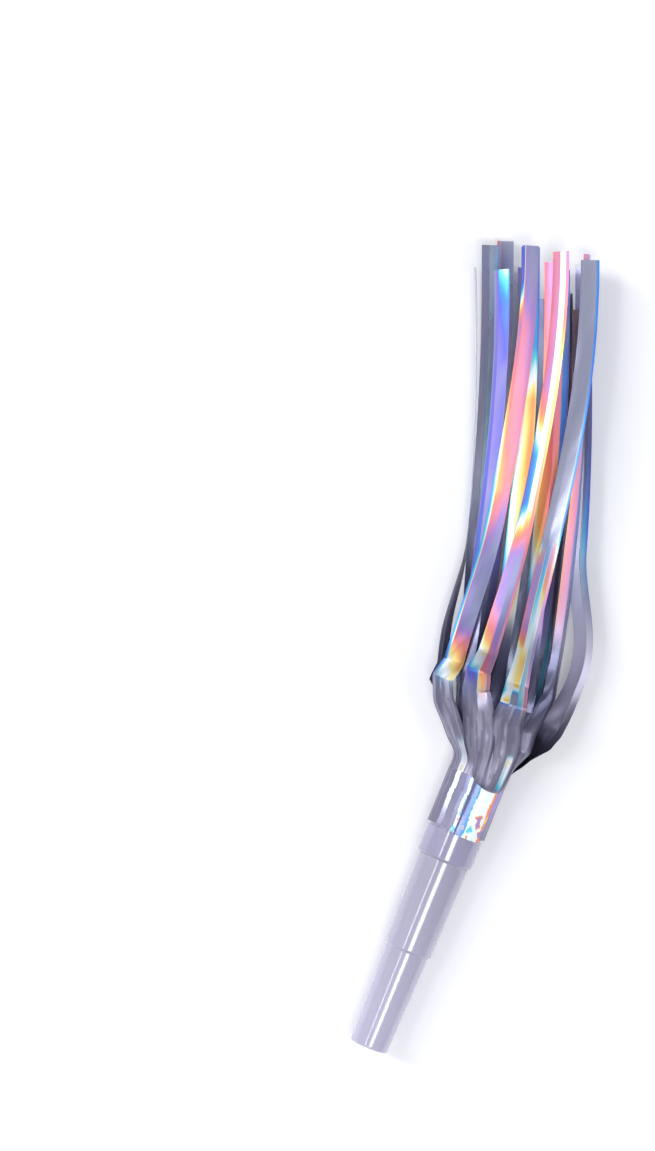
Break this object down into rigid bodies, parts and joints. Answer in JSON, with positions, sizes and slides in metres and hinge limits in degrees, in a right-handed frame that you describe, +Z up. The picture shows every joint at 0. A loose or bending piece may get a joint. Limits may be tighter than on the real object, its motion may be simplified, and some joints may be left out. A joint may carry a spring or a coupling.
{
  "type": "party horn whistle",
  "caption": "Frosted two-piece reed whistle with a wound holographic film collar and a fringe of cut film strips.",
  "frame": {"origin": "centre of the blow hole at the lip's end face", "axes": "+Y along the tube from the lip to the fringe, +Z up from the table the whistle lies on, +X to the right seen from the lip"},
  "size_m": [0.0447, 0.1405, 0.0149],
  "materials": {
    "frosted_plastic": "frosted milky polypropylene, faintly lavender",
    "clear_plastic": "glossier translucent polypropylene",
    "white_plastic": "moulded white plastic",
    "reed_film": "thin stiff film",
    "glue": "clear glue",
    "holographic_film": "metallised holographic film, slate grey with rainbow highlights"
  },
  "bodies": {
    "tube": {"mouthpiece": "frosted_plastic", "barrel": "clear_plastic", "reed_base": "white_plastic", "reed_tail": "reed_film", "reed_wedge": "white_plastic", "glue_band": "glue", "film_collar": "holographic_film"},
    "tongue": {"reed_tongue": "reed_film"},
    "left_tuft": {"strip_left_1": "holographic_film", "strip_left_2": "holographic_film", "strip_left_3": "holographic_film", "strip_left_4": "holographic_film", "strip_left_5": "holographic_film", "strip_left_6": "holographic_film"},
    "right_tuft": {"strip_right_1": "holographic_film", "strip_right_2": "holographic_film", "strip_right_3": "holographic_film", "strip_right_4": "holographic_film"},
    "top_tuft": {"strip_top_1": "holographic_film", "strip_top_2": "holographic_film", "strip_top_3": "holographic_film", "strip_top_4": "holographic_film", "strip_top_5": "holographic_film", "strip_top_6": "holographic_film", "strip_top_7": "holographic_film"}
  },
  "joints": [
    {"name": "reed_beat", "type": "hinge", "parent": "tube", "child": "tongue", "pos_m": [0, 0.0337, 0.0001], "axis": [-1, 0, 0], "range_deg": [-3, 4], "stiffness_Nm_per_rad": 0.00002},
    {"name": "left_spread", "type": "hinge", "parent": "tube", "child": "left_tuft", "pos_m": [-0.0052, 0.05, 0], "axis": [0, 0, 1], "range_deg": [0, 30], "stiffness_Nm_per_rad": 0.00004},
    {"name": "right_spread", "type": "hinge", "parent": "tube", "child": "right_tuft", "pos_m": [0.0052, 0.05, 0], "axis": [0, 0, -1], "range_deg": [0, 40], "stiffness_Nm_per_rad": 0.00004},
    {"name": "top_lift", "type": "hinge", "parent": "tube", "child": "top_tuft", "pos_m": [0, 0.05, 0.0052], "axis": [1, 0, 0], "range_deg": [0, 35], "stiffness_Nm_per_rad": 0.00004}
  ]
}
